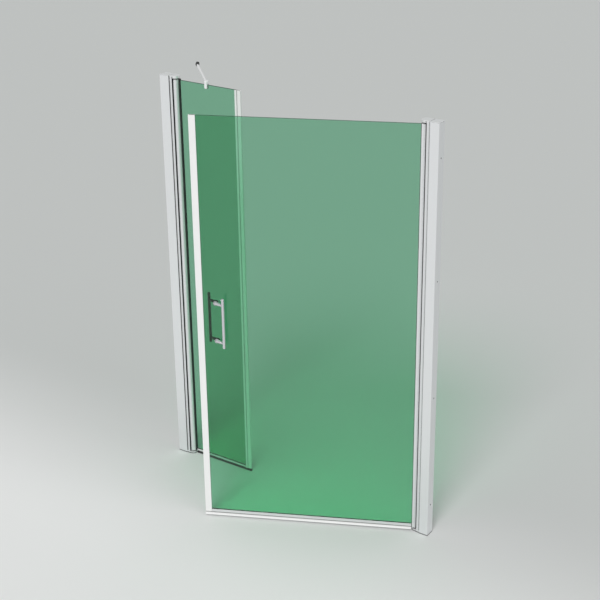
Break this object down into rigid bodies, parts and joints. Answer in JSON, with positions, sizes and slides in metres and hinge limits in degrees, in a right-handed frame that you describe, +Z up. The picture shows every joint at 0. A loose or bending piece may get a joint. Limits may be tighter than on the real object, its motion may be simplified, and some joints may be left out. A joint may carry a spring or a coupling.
{
  "type": "pivot shower door",
  "caption": "Framed pivot shower door in green glass beside a fixed glass panel, with a round pivot stile, offset pull handles and a corner brace.",
  "frame": {"origin": "on the pivot axis at tray level, under the hinge-side base block", "axes": "+X towards the wall on the hinge side, +Y into the shower, +Z up along the pivot axis"},
  "size_m": [1.4, 0.6729, 1.9],
  "materials": {
    "aluminium": "satin silver",
    "cap_metal": "satin silver",
    "dark_metal": "satin dark",
    "steel": "plain",
    "nylon": "matt black",
    "door_glass": "clear green float glass, 6 mm",
    "panel_glass": "clear green float glass, 6 mm",
    "white_seal": "soft white",
    "black_rubber": "matt black",
    "magnet": "matt brown-black"
  },
  "bodies": {
    "frame": {"bottom_thrust_washer": "nylon", "brace_bar": "aluminium", "brace_clamp_liner": "black_rubber", "brace_glass_clamp": "aluminium", "brace_wall_flange": "dark_metal", "hinge_bottom_base": "cap_metal", "hinge_bottom_pin": "steel", "hinge_channel_cap": "cap_metal", "hinge_post": "aluminium", "hinge_post_screws": "steel", "hinge_top_cap": "cap_metal", "hinge_top_pin": "steel", "hinge_wall_channel": "aluminium", "panel_bottom_base": "cap_metal", "panel_bottom_plug": "nylon", "panel_bottom_rail": "aluminium", "panel_bottom_seal": "black_rubber", "panel_bottom_spacer": "nylon", "panel_bottom_spigot": "steel", "panel_channel_cap": "cap_metal", "panel_column": "aluminium", "panel_edge_seal": "white_seal", "panel_gasket": "black_rubber", "panel_glass": "panel_glass", "panel_magnet_strip": "magnet", "panel_post": "aluminium", "panel_post_screws": "steel", "panel_top_cap": "cap_metal", "panel_top_plug": "nylon", "panel_top_spacer": "nylon", "panel_top_spigot": "steel", "panel_wall_channel": "aluminium", "post_wiper": "black_rubber"},
    "door_leaf": {"bottom_pivot_bush": "nylon", "door_bottom_plug": "nylon", "door_bottom_rail": "aluminium", "door_drip_seal": "white_seal", "door_edge_seal": "white_seal", "door_gasket": "black_rubber", "door_glass": "door_glass", "door_magnet_strip": "magnet", "door_stile": "aluminium", "door_top_plug": "nylon", "handle_studs": "steel", "handle_washers": "black_rubber", "inner_handle_bar": "aluminium", "inner_handle_posts": "aluminium", "outer_handle_bar": "aluminium", "outer_handle_posts": "aluminium", "top_pivot_bush": "nylon", "top_thrust_washer": "nylon"}
  },
  "joints": [
    {"name": "door_swing", "type": "hinge", "parent": "frame", "child": "door_leaf", "pos_m": [0, 0, 0], "axis": [0, 0, 1], "range_deg": [-24.89, 60.11]}
  ]
}
